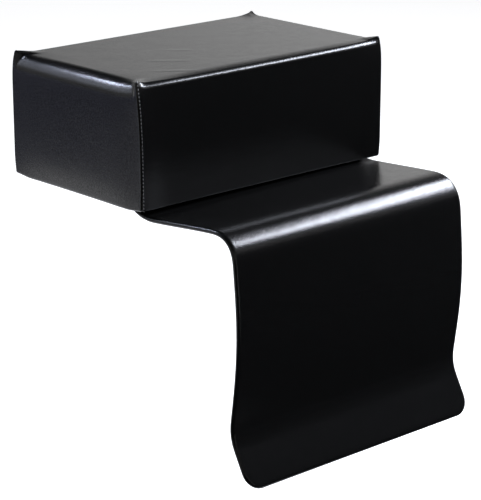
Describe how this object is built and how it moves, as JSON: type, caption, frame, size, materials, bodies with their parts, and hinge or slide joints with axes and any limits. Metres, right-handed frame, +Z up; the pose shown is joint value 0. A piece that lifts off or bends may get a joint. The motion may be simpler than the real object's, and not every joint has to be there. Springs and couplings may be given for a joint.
{
  "type": "salon booster cushion",
  "caption": "Box-shaped leatherette booster cushion that raises a child on a salon chair, with a padded apron that hangs over the chair's front edge.",
  "frame": {"origin": "middle of the felt under the cushion, where it rests on the chair's seat", "axes": "+Z up, -Y towards the front where the apron hangs, X along the cushion's width"},
  "size_m": [0.465, 0.4885, 0.5254],
  "materials": {
    "leatherette": "black semi-gloss vinyl leatherette with a fine pebble grain",
    "foam": "open-cell upholstery foam",
    "plywood": "bare birch plywood",
    "felt": "black non-slip needle felt",
    "staple_wire": "galvanised steel wire"
  },
  "bodies": {
    "cushion": {"base_board": "plywood", "core_foam": "foam", "topper_foam": "foam", "cover": "leatherette", "bottom_felt": "felt", "apron_root_face": "leatherette", "apron_root_padding": "foam", "apron_root_back": "leatherette", "back_staple_1": "staple_wire", "back_staple_2": "staple_wire", "back_staple_3": "staple_wire", "back_staple_4": "staple_wire", "back_staple_5": "staple_wire", "back_staple_6": "staple_wire", "left_staple_1": "staple_wire", "left_staple_2": "staple_wire", "left_staple_3": "staple_wire", "right_staple_1": "staple_wire", "right_staple_2": "staple_wire", "right_staple_3": "staple_wire", "apron_staple_1": "staple_wire", "apron_staple_2": "staple_wire", "apron_staple_3": "staple_wire", "apron_staple_4": "staple_wire", "apron_staple_5": "staple_wire", "apron_staple_6": "staple_wire", "apron_staple_7": "staple_wire", "apron_staple_8": "staple_wire"},
    "apron_shelf": {"apron_shelf_face": "leatherette", "apron_shelf_padding": "foam", "apron_shelf_back": "leatherette"},
    "apron_drop": {"apron_drop_face": "leatherette", "apron_drop_padding": "foam", "apron_drop_back": "leatherette"}
  },
  "joints": [
    {"name": "apron_lift", "type": "hinge", "parent": "cushion", "child": "apron_shelf", "pos_m": [0, -0.15153, 0.00062], "axis": [-1, 0, 0], "range_deg": [0, 90]},
    {"name": "apron_bend", "type": "hinge", "parent": "apron_shelf", "child": "apron_drop", "pos_m": [0, -0.30402, -0.00688], "axis": [-1, 0, 0], "range_deg": [0, 90]}
  ]
}
